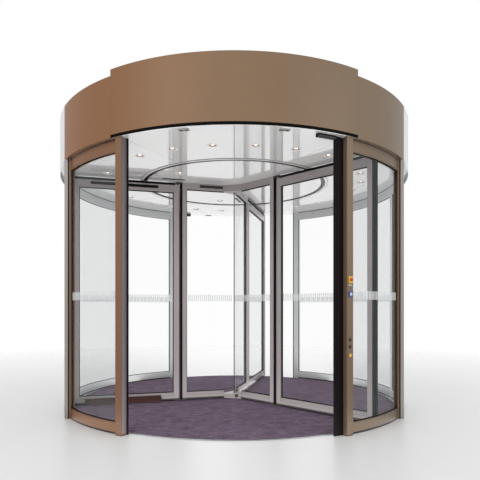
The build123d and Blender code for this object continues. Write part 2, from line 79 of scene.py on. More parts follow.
WINGS = {letter: degrees(atan2(at.y, at.x)) for letter, at in PIVOTS.items()}

# Places that no box gives, in metres
GLASS_IN = GLASS_OUT - 0.012
FACADE_LINE = -1.15
FACADE_BAND = FACADE_OUT - 0.037
POST_FACE = 2.185
POST_BACK = 2.097
HALF_POST = 0.040
HALF_MULLION = 0.023
HALF_WING = 0.025
HALF_DOORWAY = 1.06
PIVOT_ARMS = 0.7045
LEAF_PANE = (0.819, 1.985)
LEAF_PANE_HEIGHTS = (0.118, 2.708)
LEAF_SEAL = (0.796, 2.068)
INNER_PANE = (0.145, 0.649)
INNER_PANE_HEIGHTS = (0.115, 2.760)
BEAD_HEIGHT = 0.0398
SOFFIT_LIGHT_CIRCLE = 1.659
DISC_LIGHT_CIRCLE = 0.913
SENSOR_CIRCLE = 2.128
STOP_HEIGHT = 1.488
LABEL_HEIGHT = 1.4375
ACCESS_HEIGHT = 1.349
KEY_HEIGHTS = (0.915, 0.849, 0.766)
SCREW_HEIGHTS = (0.12, 1.20, 1.668, 2.72)
PLATE_DEPTH = 0.010

# Plan angles, in degrees
DISC_LIGHT_LEAD = 28.4
SENSOR_TURNS = (-102.5, -77.5, 77.5, 102.5)
SENSOR_BAR_TURNS = (-66.0, 114.0)
POST_TURN = 59.6
FACADE_TURN = 32.303
RAISED_TURN = 57.3
OPEN_POSTS = (-180 + POST_TURN, POST_TURN)
CLOSING_POSTS = (-POST_TURN, 180 - POST_TURN)
POST_REACH = degrees(HALF_POST / WALL_OUT)
MULLION_REACH = degrees(HALF_MULLION / WALL_OUT)
BAYS = [(-POST_TURN + POST_REACH, -FACADE_TURN - MULLION_REACH), (-FACADE_TURN + MULLION_REACH, -MULLION_REACH)]
BAYS += [(-end, -start) for start, end in reversed(BAYS)]
BAYS += [(180 - end, 180 - start) for start, end in BAYS]

# Where finishes and painted shade change, in metres
DUST_TOP = 0.09
# Below this height the satin metal is painted darker, as shade towards the floor
PAINTED_SHADE_TOP = 1.5
# Below this height the kick rails are painted near black as shadow
KICK_SHADOW_TOP = 0.018
EYE_LEVEL = 2.0
# Inside this radius the trim ring is painted as shadow
RING_SHADOW_EDGE = 1.203
RING_EDGE = 1.231


def rgb(red, green, blue):
    """Scene-linear colour of an 8-bit display colour."""
    return tuple((c / 255 / 12.92) if c <= 10 else ((c / 255 + 0.055) / 1.055) ** 2.4 for c in (red, green, blue))


def colour(name, about, red, green, blue):
    """Colour setting of the sidebar."""
    return bpy.props.FloatVectorProperty(name=name, description=about, default=rgb(red, green, blue), size=3,
                                         subtype="COLOR", min=0.0, max=1.0)


def length(name, about, default):
    """Length setting of the sidebar, in metres."""
    return bpy.props.FloatProperty(name=name, description=about, default=default, min=0.0001, unit="LENGTH",
                                   subtype="DISTANCE", precision=4)


class DoorColours(bpy.types.PropertyGroup):
    """Colours of the door's finishes."""

    # Painted light: the bronze runs from warm on the left to cooler on the right, as light falls across the door
    bronze_left: colour("Bronze, left", "Left of the drum and canopy", 133, 86, 48)
    bronze: colour("Bronze", "Middle of the drum and canopy", 138, 111, 86)
    bronze_right: colour("Bronze, right", "Right of the drum and canopy", 118, 102, 84)
    rotor: colour("Rotor", "Satin anodised wings and hubs", 157, 148, 148)
    street: colour("Street grey", "Pale grey of the drum on the street side", 220, 222, 222)
    ceiling: colour("Ceiling", "Gloss soffit panels", 228, 228, 226)
    glass: colour("Glass", "Tint of the panes", 208, 220, 222)
    band: colour("Band", "Frosted marks on the panes", 240, 242, 242)
    rubber: colour("Rubber", "Seals and bumpers", 18, 11, 13)
    bumper: colour("Wing bumper", "Soft bumpers on the leaves", 60, 39, 36)
    mat: colour("Mat", "Carpet strips of the entrance mat", 118, 101, 118)
    mat_bar: colour("Mat bars", "Scraper bars between the strips", 92, 80, 92)
    steel: colour("Steel", "Brushed trim", 150, 150, 150)
    primer: colour("Primer", "Frame inside the canopy", 96, 99, 102)
    stop_plate: colour("Stop plate", "Plate of the emergency stop", 232, 190, 30)
    stop_knob: colour("Stop knob", "Mushroom of the emergency stop", 196, 28, 22)
    access: colour("Access button", "Plate of the slow-turn button", 38, 72, 160)
    brass: colour("Brass", "Key switch barrel", 226, 178, 92)


class DoorSizes(bpy.types.PropertyGroup):
    """Sizes of the door's small fittings."""

    fin_pitch: length("Fin pitch", "Distance from one louvre fin to the next", 0.0132)
    fin_thickness: length("Fin thickness", "Thickness of a louvre fin", 0.003)
    band_low: length("Band bottom", "Height of the frosted band's lower edge", 1.300)
    band_high: length("Band top", "Height of the frosted band's upper edge", 1.385)
    mark_pitch: length("Mark pitch", "Distance from one frosted mark to the next", 0.026)
    mark_width: length("Mark width", "Width of one frosted mark", 0.015)
    rib_pitch: length("Rib pitch", "Distance from one mat strip to the next", 0.0268)
    rib_gap: length("Rib gap", "Bar between two mat strips", 0.006)
    gasket: length("Wall gasket", "Face width of a gasket on the curved panes", 0.005)
    wing_gasket: length("Wing gasket", "Face width of a gasket on the wings' panes", 0.008)
    lens_radius: length("Lens radius", "Bright lens of a downlight", 0.017)


class Value:
    """A shader socket on which Python arithmetic adds Math nodes."""

    def __init__(self, paint, socket):
        self.paint = paint
        self.socket = socket

    def _math(self, operation, first, second, clamp=False):
        settings = {"operation": operation, "use_clamp": clamp}
        return self.paint.node("ShaderNodeMath", settings, {0: first, 1: second})

    def __add__(self, other):
        return self._math("ADD", self, other)

    def __sub__(self, other):
        return self._math("SUBTRACT", self, other)

    def __rsub__(self, other):
        return self._math("SUBTRACT", other, self)

    def __mul__(self, other):
        return self._math("MULTIPLY", self, other)

    def __truediv__(self, other):
        return self._math("DIVIDE", self, other)

    def __gt__(self, other):
        return self._math("GREATER_THAN", self, other)

    def __lt__(self, other):
        return self._math("LESS_THAN", self, other)

    def __pow__(self, other):
        return self._math("POWER", self, other)

    def __abs__(self):
        return self.paint.node("ShaderNodeMath", {"operation": "ABSOLUTE"}, {0: self})

    __radd__ = __add__
    __rmul__ = __mul__

    def clamped(self):
        """The same value kept between 0 and 1."""
        return self._math("ADD", self, 0.0, clamp=True)


class Paint:
    """One procedural finish, or the shading of a world."""

    def __init__(self, name, world=False):
        self.owner = (bpy.data.worlds if world else bpy.data.materials).new(name)
        self.owner.use_nodes = True
        self.tree = self.owner.node_tree
        self.tree.nodes.clear()
        self.place = None if world else self.node("ShaderNodeTexCoord", out="Object")

    def node(self, kind, settings=None, sockets=None, out=0):
        """Add a node: its settings first, then the values or links of its sockets."""
        made = self.tree.nodes.new(kind)
        for key, value in (settings or {}).items():
            if key == "stops":
                ramp = made.color_ramp
                ramp.elements[0].position, ramp.elements[1].position = value[0][0], value[-1][0]
                for at, tint in value[1:-1]:
                    ramp.elements.new(at)
                for element, (at, tint) in zip(ramp.elements, value):
                    element.color = (*tint, 1)
            else:
                setattr(made, key, value)
        for key, value in (sockets or {}).items():
            if isinstance(value, Value):
                self.tree.links.new(value.socket, made.inputs[key])
            else:
                made.inputs[key].default_value = value
        return Value(self, made.outputs[out])

    def axes(self):
        """The X, Y and Z of the piece's own coordinates."""
        parts = self.node("ShaderNodeSeparateXYZ", None, {0: self.place}).socket.node
        return [Value(self, parts.outputs[i]) for i in range(3)]

    def radius(self):
        """Distance from the rotor's axis."""
        x, y, z = self.axes()
        return (x * x + y * y) ** 0.5

    def stretched(self, x, y, z):
        """Coordinates scaled along each axis."""
        return self.node("ShaderNodeMapping", None, {"Vector": self.place, "Scale": (x, y, z)})

    def noise(self, scale, detail=3.0, place=None, roughness=0.55):
        """Soft noise between 0 and 1."""
        sockets = {"Vector": place or self.place, "Scale": scale, "Detail": detail, "Roughness": roughness}
        return self.node("ShaderNodeTexNoise", None, sockets)

    def mix(self, factor, first, second):
        """A colour between two others."""
        ends = [(*c, 1) if isinstance(c, tuple) else c for c in (first, second)]
        sockets = {0: factor, 6: ends[0], 7: ends[1]}
        return self.node("ShaderNodeMix", {"data_type": "RGBA"}, sockets, out=2)

    def bump(self, height, distance, strength):
        """A normal from a height."""
        return self.node("ShaderNodeBump", None, {"Height": height, "Distance": distance, "Strength": strength})

    def done(self, sockets):
        """Feed the surface and close the material."""
        sockets = {k: (*v, 1) if isinstance(v, tuple) and len(v) == 3 else v for k, v in sockets.items()}
        self.close(self.node("ShaderNodeBsdfPrincipled", None, sockets))
        return self.owner

    def close(self, surface, kind="ShaderNodeOutputMaterial"):
        """Link a shader to the output."""
        output = self.tree.nodes.new(kind)
        self.tree.links.new(surface.socket, output.inputs["Surface"])


def shade(tint, factor):
    """A colour made lighter or darker."""
    return tuple(min(1.0, c * factor) for c in tint)


def spread(paint, tint, factor):
    """A tint, or a row of three tints across the canopy's width that paints warm light on the left and cooler
    light on the right, made lighter or darker.
    """
    if not isinstance(tint[0], tuple):
        return shade(tint, factor)
    stops = [(at, shade(one, factor)) for at, one in zip((0.0, 0.5, 1.0), tint)]
    share_per_metre = 0.29
    return paint.node("ShaderNodeValToRGB", {"stops": stops}, {0: paint.axes()[0] * share_per_metre + 0.5})


def satin_metal(name, tint, metallic=0.30, roughness=0.45, grain=(60, 60, 2.5), painted_shadow_gaps=False, street=None,
                marks=None, coat=0.0):
    """Anodised aluminium: fine grain along the profile, painted shade that darkens it towards the floor, a little
    dust near the floor.
    """
    paint = Paint(name)
    streak = paint.noise(9.0, 4.0, paint.stretched(*grain))
    cloud = paint.noise(1.3, 2.0)
    x, y, z = paint.axes()
    dust = ((DUST_TOP - z) / DUST_TOP).clamped() * paint.noise(14.0, 4.0)
    tone = streak * 0.6 + cloud * 0.4
    # For the bronze tints this row is painted light: warm on the left, cooler on the right
    base = paint.mix(tone, spread(paint, tint, 0.90), spread(paint, tint, 1.08))
    # Painted shade: darker from this height down to the floor
    base = paint.mix(((PAINTED_SHADE_TOP - z) / PAINTED_SHADE_TOP).clamped() * 0.3, base, spread(paint, tint, 0.55))
    if street:
        base = paint.mix(y > FACADE_LINE, base, paint.mix(tone, shade(street, 0.92), shade(street, 1.04)))
    base = paint.mix(dust * 0.55, base, spread(paint, tint, 0.45))
    # Painted shadow: near black at the foot of the kick rails and the top of the head rails, where recesses would
    # lie in shade
    if painted_shadow_gaps:
        base = paint.mix((z < KICK_SHADOW_TOP) + (z > SOFFIT - 0.007), base, spread(paint, tint, 0.10))
    if marks:
        base = marks(paint, base)
    return paint.done({"Base Color": base, "Metallic": metallic, "Roughness": streak * 0.14 + (roughness - 0.07),
                       "Coat Weight": coat, "Coat Roughness": 0.18, "Normal": paint.bump(streak, 0.0006, 0.35)})


def painted_sheet(name, tint, metallic=0.35, roughness=0.45, marks=None):
    """Powder-coated sheet: faint orange peel and broad, soft changes of tone."""
    paint = Paint(name)
    peel = paint.noise(900.0, 2.0)
    cloud = paint.noise(0.9, 2.0)
    fine = paint.noise(30.0, 3.0, paint.stretched(1, 1, 0.15))
    # For the bronze tints this row is painted light: warm on the left, cooler on the right
    base = paint.mix(cloud * 0.7 + fine * 0.3, spread(paint, tint, 0.92), spread(paint, tint, 1.07))
    if marks:
        base = marks(paint, base)
    return paint.done({"Base Color": base, "Metallic": metallic, "Roughness": cloud * 0.08 + (roughness - 0.04),
                       "Specular IOR Level": 0.25, "Normal": paint.bump(peel, 0.0002, 0.2)})


def street_half(tint):
    """Marks of the canopy sheets: pale grey past the facade, dark joints where the raised sheets end."""
    def marks(paint, base):
        x, y, z = paint.axes()
        base = paint.mix(y > FACADE_LINE, base, tint)
        slope = tan(radians(90 - RAISED_TURN))
        off = abs(abs(x) - abs(y) * slope)
        return paint.mix((off < 0.0012) * 0.6, base, (0.03, 0.025, 0.02))
    return marks


def ring_steps(tint):
    """Marks of the trim ring: painted shadow of the gap along the inner lip, and a grey outer edge."""
    def marks(paint, base):
        out = paint.radius()
        base = paint.mix(out > RING_EDGE, base, shade(tint, 0.35))
        # Painted shadow: warm black along the inner lip, where the gap to the disc lies in shade
        return paint.mix(out < RING_SHADOW_EDGE, base, rgb(26, 14, 15))
    return marks


def facade_bands(tint):
    """Marks of the facade posts: a taupe outer band and a darker frame."""
    def marks(paint, base):
        outer = abs(paint.axes()[0]) > FACADE_BAND
        return paint.mix(outer, shade(tint, 0.55), rgb(150, 143, 137))
    return marks


def black_edges(tint, arms):
    """Marks of the wings: a black band at the foot of the bottom rail, partly brush holder and partly painted
    shadow of the gap under the rail, and black pivot arms.
    """
    def marks(paint, base):
        # Black foot of the rail: partly the brush holder, partly painted shadow of the gap below it
        edge = paint.axes()[2] < LEAF_LOW + 0.018
        if arms:
            edge = edge + (paint.radius() > PIVOT_ARMS)
        return paint.mix(edge, base, tint)
    return marks


def clear_pane(name, tint):
    """Clear glass: nearly open face on, brighter at a low angle, a trace of wiping marks."""
    paint = Paint(name)
    rim = paint.node("ShaderNodeFresnel", None, {"IOR": 1.42})
    wipe = paint.noise(3.0, 3.0, paint.stretched(1, 1, 0.4))
    smear = (wipe - 0.52).clamped() * 0.10
    return paint.done({"Base Color": shade(tint, 0.34), "Roughness": wipe * 0.03 + 0.015, "IOR": 1.5,
                       "Alpha": (rim * 0.15 + 0.003 + smear * 0.12).clamped()})


def gloss_ceiling(name, tint, edge, street):
    """High-gloss coated panel with a faint ripple, dull outside the wall."""
    paint = Paint(name)
    ripple = paint.noise(1.6, 1.5)
    base = paint.mix(ripple, shade(tint, 0.97), shade(tint, 1.01))
    x, y, z = paint.axes()
    outside = (paint.radius() > WALL_OUT) * (abs(x) > HALF_DOORWAY)
    base = paint.mix(outside, base, paint.mix(y > FACADE_LINE, edge, street))
    return paint.done({"Base Color": base, "Roughness": ripple * 0.05 + 0.10, "Coat Weight": 1.0, "Coat IOR": 2.0,
                       "Coat Roughness": 0.03, "Normal": paint.bump(ripple, 0.002, 0.3)})


def moulded_rubber(name, tint, roughness=0.55, strip=None):
    """Rubber with a dull skin and a little pale dust; strips above eye level may have their own tint."""
    paint = Paint(name)
    skin = paint.noise(500.0, 2.0)
    dust = (paint.noise(6.0, 5.0) - 0.45).clamped()
    base = paint.mix(dust * 0.4, tint, shade(tint, 2.2))
    if strip:
        base = paint.mix(paint.axes()[2] > EYE_LEVEL, base, strip)
    return paint.done({"Base Color": base, "Roughness": dust * 0.3 + roughness, "Specular IOR Level": 0.09,
                       "Normal": paint.bump(skin, 0.0003, 0.3)})


def bristles(name, tint):
    """Brush strip: fine bristles across its length."""
    paint = Paint(name)
    hair = paint.noise(14.0, 3.0, paint.stretched(70, 70, 3))
    base = paint.mix(hair, shade(tint, 0.4), shade(tint, 2.2))
    return paint.done({"Base Color": base, "Roughness": 0.85, "Specular IOR Level": 0.15,
                       "Normal": paint.bump(hair, 0.0015, 0.8)})


def carpet_strip(name, tint):
    """Ribbed mat strip: tufted pile with flecks and trodden patches."""
    paint = Paint(name)
    pile = paint.noise(420.0, 3.0)
    fleck = paint.noise(120.0, 2.0, paint.stretched(0.35, 1, 1))
    tufts = paint.noise(25.0, 6.0, paint.stretched(0.30, 1, 1), 0.9)
    streak = ((tufts - 0.40) * 4.6).clamped()
    trodden = paint.noise(1.1, 3.0)
    base = paint.mix(pile * 0.15 + fleck * 0.2 + streak * 0.65, shade(tint, 0.32), shade(tint, 1.8))
    base = paint.mix((trodden - 0.45).clamped() * 0.7, base, shade(tint, 1.5))
    return paint.done({"Base Color": base, "Roughness": 0.95, "Specular IOR Level": 0.12,
                       "Normal": paint.bump(pile, 0.002, 0.8)})


def brushed(name, tint, roughness=0.32):
    """Brushed steel with fine scratches and small dull spots."""
    paint = Paint(name)
    scratch = paint.noise(40.0, 4.0, paint.stretched(2, 30, 30))
    spot = (paint.noise(9.0, 4.0) - 0.5).clamped()
    base = paint.mix(scratch, shade(tint, 0.85), shade(tint, 1.12))
    return paint.done({"Base Color": base, "Metallic": 0.9, "Roughness": scratch * 0.12 + spot * 0.4 + roughness,
                       "Normal": paint.bump(scratch, 0.0003, 0.3)})


def moulded_plastic(name, tint, roughness=0.3):
    """Moulded plastic: slight tone change, fine spark texture."""
    paint = Paint(name)
    spark = paint.noise(800.0, 2.0)
    cloud = paint.noise(12.0, 2.0)
    base = paint.mix(cloud, shade(tint, 0.93), shade(tint, 1.06))
    return paint.done({"Base Color": base, "Roughness": cloud * 0.1 + roughness, "Coat Weight": 0.2,
                       "Normal": paint.bump(spark, 0.0001, 0.25)})


def warm_cups(tint):
    """Marks of the downlights: a warm metal cup above the rim."""
    def marks(paint, base):
        return paint.mix(paint.axes()[2] > SOFFIT + 0.001, base, tint)
    return marks


def bright_lens(name, strength):
    """Prismatic lamp lens: rings round the middle, warm white."""
    paint = Paint(name)
    rings = paint.noise(260.0, 1.0)
    glow = paint.mix(rings, (1.0, 0.90, 0.74), (1.0, 0.97, 0.90))
    return paint.done({"Base Color": (0.9, 0.88, 0.84), "Roughness": 0.25, "Emission Color": glow,
                       "Emission Strength": strength})


def frosted_film(name, tint):
    """Etched film: pale, soft and slightly see-through."""
    paint = Paint(name)
    grain = paint.noise(900.0, 2.0)
    return paint.done({"Base Color": paint.mix(grain, shade(tint, 0.92), tint), "Roughness": 0.6,
                       "Alpha": grain * 0.12 + 0.62})


def anodised_black(name):
    """Black anodised grille metal with a dusty edge."""
    paint = Paint(name)
    dust = paint.noise(40.0, 4.0)
    base = paint.mix(dust, (0.004, 0.0035, 0.0035), (0.016, 0.013, 0.012))
    return paint.done({"Base Color": base, "Specular IOR Level": 0.2, "Roughness": dust * 0.2 + 0.6})


FINISH = {}


def make_finishes(colours):
    """Every finish of the door, by the name that the pieces use."""
    c = {key: tuple(getattr(colours, key)) for key in DoorColours.__annotations__}
    # Painted light: the bronze tints run from warm on the left to cooler on the right; posts and rails get darker
    # copies of them
    bronzes_with_painted_light = (c["bronze_left"], c["bronze"], c["bronze_right"])
    dull = tuple(shade(tint, 0.84) for tint in bronzes_with_painted_light)
    wing = (c["rotor"], 0.25, 0.4)
    FINISH.update({
        "bronze": satin_metal("bronze_satin", dull, street=c["street"]),
        "rail": satin_metal("rail_bronze", dull, grain=(4, 4, 60), painted_shadow_gaps=True, street=c["street"]),
        "canopy": painted_sheet("canopy_bronze", bronzes_with_painted_light, 0.12, 0.42, street_half(c["street"])),
        "facade": satin_metal("facade_bronze", c["bronze"], marks=facade_bands(c["bronze"])),
        "rotor": satin_metal("rotor_satin", *wing),
        "rotor_inner": satin_metal("rotor_inner", *wing, marks=black_edges(c["rubber"], True), coat=0.6),
        "rotor_leaf": satin_metal("rotor_leaf", *wing, marks=black_edges(c["rubber"], False), coat=0.6),
        # Painted light: the pale grey that a reveal face takes in bright daylight
        "reveal": satin_metal("reveal_grey", rgb(118, 108, 110), 0.2, 0.5),
        "silver": satin_metal("sensor_silver", rgb(160, 156, 152), 0.5, 0.35),
        "glass": clear_pane("clear_glass", c["glass"]),
        "ceiling": gloss_ceiling("ceiling_gloss", c["ceiling"], shade(c["bronze"], 0.7), c["street"]),
        "trim": painted_sheet("ceiling_trim", c["ceiling"], 0.4, 0.3, ring_steps(c["ceiling"])),
        "rubber": moulded_rubber("black_rubber", c["rubber"]),
        "bumper": moulded_rubber("bumper_brown", c["bumper"], 0.5, c["rubber"]),
        "brush": bristles("brush_black", c["rubber"]),
        "mat": carpet_strip("mat_fabric", c["mat"]),
        "mat_bar": moulded_rubber("mat_bar", c["mat_bar"], 0.6),
        "steel": brushed("steel_trim", c["steel"]),
        "primer": painted_sheet("frame_steel", c["primer"], 0.1, 0.6),
        "roof": painted_sheet("roof_metal", shade(c["street"], 0.8), 0.2, 0.6),
        "sensor": moulded_plastic("sensor_black", (0.006, 0.005, 0.006), 0.5),
        "grille": anodised_black("vent_black"),
        "stop_plate": moulded_plastic("stop_yellow", c["stop_plate"], 0.4),
        "stop_knob": moulded_plastic("stop_red", c["stop_knob"], 0.3),
        "access": moulded_plastic("access_blue", c["access"], 0.35),
        "brass": brushed("key_brass", c["brass"], 0.3),
        "cup": painted_sheet("lamp_cup", shade(c["ceiling"], 1.05), 0.1, 0.3, warm_cups(rgb(176, 146, 130))),
        "lens": bright_lens("lamp_lens", 1.6),
        "band": frosted_film("frosted_band", c["band"]),
    })


def wings(node):
    """A node's name on each wing."""
    return [f"{node}_{letter}" for letter in WINGS]


NODE_FINISH = {
    "bronze": ["lobby_posts", "street_posts", "wall_mullions"],
    "facade": ["facade_posts"],
    "rail": ["kick_rails", "head_rails"],
    "canopy": ["raised_fascias", "fascia_lobby_sides", "fascia_street_sides"],
    "rotor": ["hub_top", "hub_bottom"],
    "rotor_leaf": wings("leaf_frame"),
    "rotor_inner": wings("inner_frame"),
    "glass": ["wall_glass", "inner_glass", *wings("leaf_glass")],
    "ceiling": ["soffit_panels", "ceiling_disc"],
    "trim": ["soffit_trim_ring"],
    "lens": ["soffit_downlights", "disc_downlights"],
    "rubber": ["safety_bumpers", "inner_seals"],
    "brush": wings("leaf_seals"),
    "bumper": wings("leaf_safety"),
    "sensor": ["sensor_bars", "presence_sensors"],
    "silver": ["doorway_sensors"],
    "grille": ["vent_louvres"],
    "mat": ["entrance_mat"],
    "steel": ["floor_pivot", "rotor_shaft"],
    "primer": ["canopy_frame", "drive_bridge"],
    "roof": ["canopy_roof"],
    "stop_plate": ["emergency_stop"],
    "access": ["access_button"],
    "brass": ["key_switches"],
}


def turned_box(node, angle):
    """Box of the part of a node that lies along a plan angle, in axes turned to it."""
    spin = Matrix.Rotation(radians(-angle), 3, "Z")
    points = [p for p in (spin @ v.co for v in frame["nodes"][node].data.vertices) if p.x > 0]
    return Vector(map(min, *points)), Vector(map(max, *points))


def block(bm, x0, x1, y0, y1, z0, z1):
    """A block between two corners; gives its vertices."""
    size = Matrix.Diagonal((x1 - x0, y1 - y0, z1 - z0, 1))
    place = Matrix.Translation(((x0 + x1) / 2, (y0 + y1) / 2, (z0 + z1) / 2))
    return bmesh.ops.create_cube(bm, size=1.0, matrix=place @ size)["verts"]


def turn(bm, verts, angle):
    """Rotate vertices about the Z axis, in degrees."""
    bmesh.ops.rotate(bm, verts=verts, cent=(0, 0, 0), matrix=Matrix.Rotation(radians(angle), 3, "Z"))


def bar(bm, angle, *corners):
    """A block that lies along a plan angle."""
    turn(bm, block(bm, *corners), angle)


def boss(bm, near, far, radius, height, across=0.0, segments=32, taper=1.0):
    """A round head that stands out along X; gives its vertices."""
    place = Matrix.Translation(((near + far) / 2, across, height)) @ Matrix.Rotation(pi / 2, 4, "Y")
    return bmesh.ops.create_cone(bm, cap_ends=True, segments=segments, radius1=radius, radius2=radius * taper,
                                 depth=far - near, matrix=place)["verts"]


def repeat(bm, verts, step, count):
    """Copy a part round the Z axis at a step in degrees."""
    edges = {e for v in verts for e in v.link_edges}
    faces = {f for v in verts for f in v.link_faces}
    bmesh.ops.spin(bm, geom=[*verts, *edges, *faces], cent=(0, 0, 0), axis=(0, 0, 1), dvec=(0, 0, 0),
                   angle=radians(step * (count - 1)), steps=count - 1, use_duplicate=True)


def edges_among(verts):
    """Edges with both ends in a list of vertices."""
    return list({e for v in verts for e in v.link_edges if all(w in verts for w in e.verts)})


def soften(bm, edges, offset, segments=2, clamp=False):
    """Round edges off."""
    bmesh.ops.bevel(bm, geom=edges, offset=offset, segments=segments, profile=0.5, affect="EDGES", material=-1,
                    clamp_overlap=clamp)


def oblong(inner, outer, low, high):
    """Rectangular outline for a sweep."""
    return [(inner, low), (outer, low), (outer, high), (inner, high)]


def sweep(bm, outline, start=0.0, end=360.0, steps=24):
    """Turn a closed (radius, height) outline about Z between two plan angles."""
    first = Matrix.Rotation(radians(start), 3, "Z")
    verts = [bm.verts.new(first @ Vector((r, 0, z))) for r, z in outline]
    edges = [bm.edges.new(pair) for pair in zip(verts, verts[1:] + verts[:1])]
    whole = end - start > 359.9
    made = bmesh.ops.spin(bm, geom=verts + edges, cent=(0, 0, 0), axis=(0, 0, 1), dvec=(0, 0, 0),
                          angle=radians(end - start), steps=steps, use_merge=whole)
    if not whole:
        last = [g for g in made["geom_last"] if isinstance(g, bmesh.types.BMEdge)]
        bmesh.ops.contextual_create(bm, geom=edges)
        bmesh.ops.contextual_create(bm, geom=last)


def finished(name, bm, body, finish, smooth=True, bevel=0.0):
    """Close a bmesh into a piece that rides on a body."""
    if bevel:
        corners = [e for e in bm.edges if e.is_manifold and e.calc_face_angle(0) > 0.5]
        soften(bm, corners, bevel, clamp=True)
    bmesh.ops.recalc_face_normals(bm, faces=bm.faces)
    mesh = bpy.data.meshes.new(name)
    bm.to_mesh(mesh)
    bm.free()
    piece = bpy.data.objects.new(name, mesh)
    bpy.context.scene.collection.objects.link(piece)
    mesh.materials.append(FINISH[finish])
    if smooth:
        mesh.shade_smooth()
        mesh.set_sharp_from_angle(angle=radians(35))
    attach(piece, body)
    return piece


class DOOR_OT_finishes(bpy.types.Operator):
    """Make the finishes and put them on the frame's pieces."""

    bl_idname = "door.finishes"
    bl_label = "Finishes"

    def execute(self, context):
        make_finishes(context.scene.door_colours)
        for finish, names in NODE_FINISH.items():
            for name in names:
                mesh = frame["nodes"][name].data
                mesh.materials.clear()
                mesh.materials.append(FINISH[finish])
        return {"FINISHED"}


class DOOR_OT_grille(bpy.types.Operator):
    """Upright fins of the louvre under each raised fascia."""

    bl_idname = "door.grille"
    bl_label = "Louvre fins"

    def execute(self, context):
        sizes = context.scene.door_sizes
        half = 90 - RAISED_TURN
        count = int(radians(2 * half) * CANOPY / sizes.fin_pitch)
        step = 2 * half / count
        bm = bmesh.new()
        for middle in (-90, 90):
            fin = block(bm, SLOT_BACK - 0.003, SKIN, -sizes.fin_thickness / 2, sizes.fin_thickness / 2,
                        SOFFIT + 0.0035, SLOT_TOP)
            turn(bm, fin, middle - half + step / 2)
            repeat(bm, fin, step, count)
        finished("louvre_fins", bm, "drum", "grille", smooth=False)
        return {"FINISHED"}


class DOOR_OT_mat(bpy.types.Operator):
    """Ribbed entrance mat in its steel ring."""

    bl_idname = "door.mat"
    bl_label = "Entrance mat"

    def execute(self, context):
        sizes = context.scene.door_sizes
        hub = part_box("floor_pivot")[1].x
        base_top, shortest = 0.005, 0.05
        bm = bmesh.new()
        sweep(bm, oblong(hub, MAT_RADIUS, 0.0, base_top), steps=96)
        base = finished("mat_base", bm, "drum", "mat_bar")
        bm = bmesh.new()
        count = int(MAT_RADIUS / sizes.rib_pitch)
        width = sizes.rib_pitch - sizes.rib_gap
        for n in range(-count, count + 1):
            y = n * sizes.rib_pitch
            reach = sqrt(max(0.0, MAT_RADIUS ** 2 - (abs(y) + width / 2) ** 2)) - 0.001
            if reach < shortest:
                continue
            low, high = y - width / 2, y + width / 2
            gap = sqrt(max(0.0, (hub + 0.002) ** 2 - min(low * low, high * high))) if abs(y) < hub else 0.0
            for x0, x1 in [(-reach, -gap), (gap, reach)] if gap else [(-reach, reach)]:
                strip = block(bm, x0, x1, low, high, base_top - 0.001, MAT_TOP)
                soften(bm, edges_among([v for v in strip if v.co.z > base_top]), 0.0016)
        strips = finished("mat_strips", bm, "drum", "mat")
        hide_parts("entrance_mat")
        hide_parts("entrance_mat")
        bm = bmesh.new()
        edge = MAT_RADIUS + 0.009
        sweep(bm, [(MAT_RADIUS, 0.0), (edge, 0.0), (edge, 0.003), (edge - 0.003, MAT_TOP),
                   (MAT_RADIUS, MAT_TOP)], steps=128)
        finished("mat_ring", bm, "drum", "steel")
        return {"FINISHED"}


class DOOR_OT_downlights(bpy.types.Operator):
    """Downlights of the soffit and the turning disc: rim, cone reflector and bright lens."""

    bl_idname = "door.downlights"
    bl_label = "Downlights"

    def execute(self, context):
        fixed = [(SOFFIT_LIGHT_CIRCLE, 7.5 + 15 * n) for n in range(24)]
        turning = [(DISC_LIGHT_CIRCLE, WINGS[letter] + DISC_LIGHT_LEAD) for letter in "abc"]
        lens_radius = context.scene.door_sizes.lens_radius
        flange, can, top = 0.056, 0.0495, SOFFIT + 0.030
        rim, low = SOFFIT - 0.0025, SOFFIT + 0.003
        cone_outline = [(0.050, rim + 0.001), (flange, rim + 0.001), (flange, SOFFIT), (can, SOFFIT),
                        (can, top), (lens_radius, top), (lens_radius, SOFFIT + 0.010), (0.046, rim)]
        lens_outline = [(0.0005, low), (lens_radius * 0.6, low + 0.001), (lens_radius, low + 0.005),
                        (lens_radius, low + 0.008), (0.0005, low + 0.008)]
        for body, node, places in (("drum", "soffit_downlights", fixed), ("rotor", "disc_downlights", turning)):
            cone = bmesh.new()
            lens = bmesh.new()
            for radius, angle in places:
                at = Matrix.Rotation(radians(angle), 3, "Z") @ Vector((radius, 0, 0))
                self.spun(cone, cone_outline, at, 28)
                self.spun(lens, lens_outline, at, 20)
            rims = finished(f"{body}_light_rims", cone, body, "cup")
            lenses = finished(f"{body}_light_lenses", lens, body, "lens")
            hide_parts(node)
            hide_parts(node)
        return {"FINISHED"}

    def spun(self, bm, outline, at, steps):
        """A turned outline moved to its place in plan."""
        known = set(bm.verts)
        sweep(bm, outline, steps=steps)
        bmesh.ops.translate(bm, verts=[v for v in bm.verts if v not in known], vec=at)


